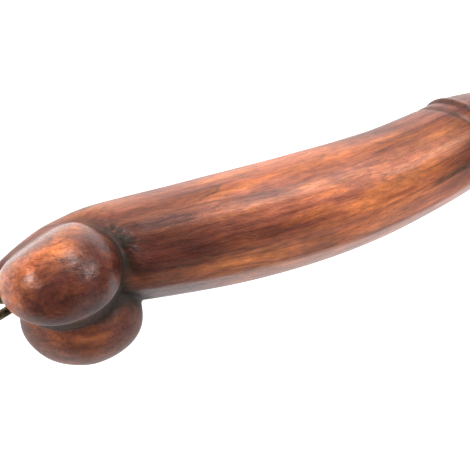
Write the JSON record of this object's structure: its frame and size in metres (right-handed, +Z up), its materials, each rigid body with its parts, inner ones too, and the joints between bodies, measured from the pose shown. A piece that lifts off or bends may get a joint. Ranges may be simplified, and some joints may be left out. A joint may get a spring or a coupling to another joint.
{
  "type": "carved phallic bottle opener",
  "caption": "Varnished hand-carved hardwood phallic novelty with a curved grip, rimmed rounded end, twin lobes and a bent-rod bottle opener loop.",
  "frame": {"origin": "on the table, below the middle of the box round the whole piece as it lies at rest", "axes": "+X along the piece towards the rounded head, +Z up from the table, +Y towards the back of the carving's bend"},
  "size_m": [0.2264, 0.0546, 0.045],
  "materials": {
    "varnished_wood": "dark reddish hardwood with brown streaks under worn glossy varnish",
    "tarnished_steel": "bent steel rod with an olive brown tarnish",
    "epoxy": "dark brown two-part adhesive, gloss"
  },
  "bodies": {
    "root": {"carved_body": "varnished_wood", "opener_loop": "tarnished_steel", "cap_tooth": "tarnished_steel", "epoxy_plug": "epoxy"}
  },
  "joints": []
}
